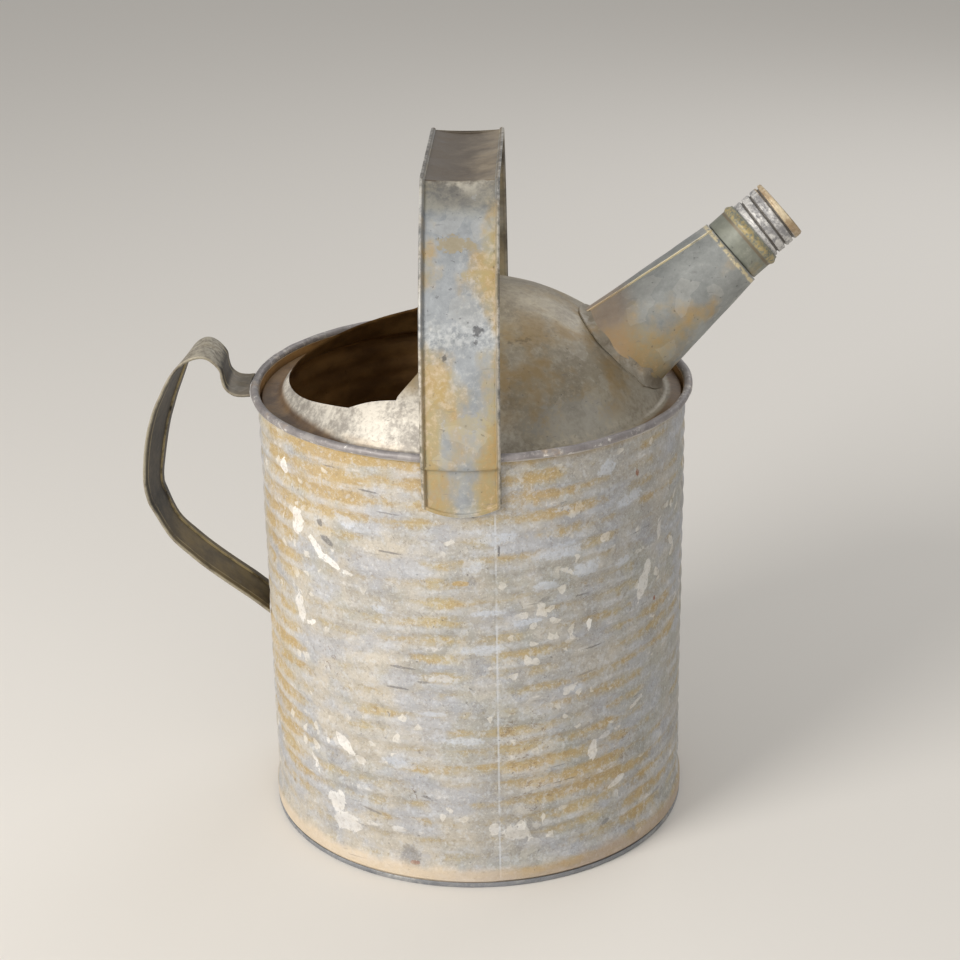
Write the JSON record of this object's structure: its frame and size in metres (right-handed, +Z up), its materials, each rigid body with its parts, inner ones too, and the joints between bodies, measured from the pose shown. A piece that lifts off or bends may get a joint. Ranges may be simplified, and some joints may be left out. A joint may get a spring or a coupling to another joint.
{
  "type": "rusty watering can",
  "caption": "Rusty galvanised watering can with a domed, half-open top, strap handles and a threaded spout that has lost its rose.",
  "frame": {"origin": "on the ground under the middle of the whole object, spout and rear handle included", "axes": "+Z up, +X towards the spout, -X towards the rear handle; the carrying handle crosses along Y"},
  "size_m": [0.2964, 0.2024, 0.3128],
  "materials": {
    "body_wall": "weathered zinc coat with rust",
    "bottom_plate": "weathered zinc coat with rust",
    "hood": "weathered zinc coat with rust",
    "spout_tube": "weathered zinc coat with rust",
    "spout_collar": "weathered zinc coat with rust",
    "threaded_neck": "dull cast zinc",
    "carrying_handle": "weathered zinc coat with rust",
    "rear_handle": "weathered zinc coat with rust"
  },
  "bodies": {
    "root": {"body_wall": "body_wall", "bottom_plate": "bottom_plate", "hood": "hood", "spout_tube": "spout_tube", "spout_collar": "spout_collar", "threaded_neck": "threaded_neck", "carrying_handle": "carrying_handle", "rear_handle": "rear_handle"}
  },
  "joints": []
}
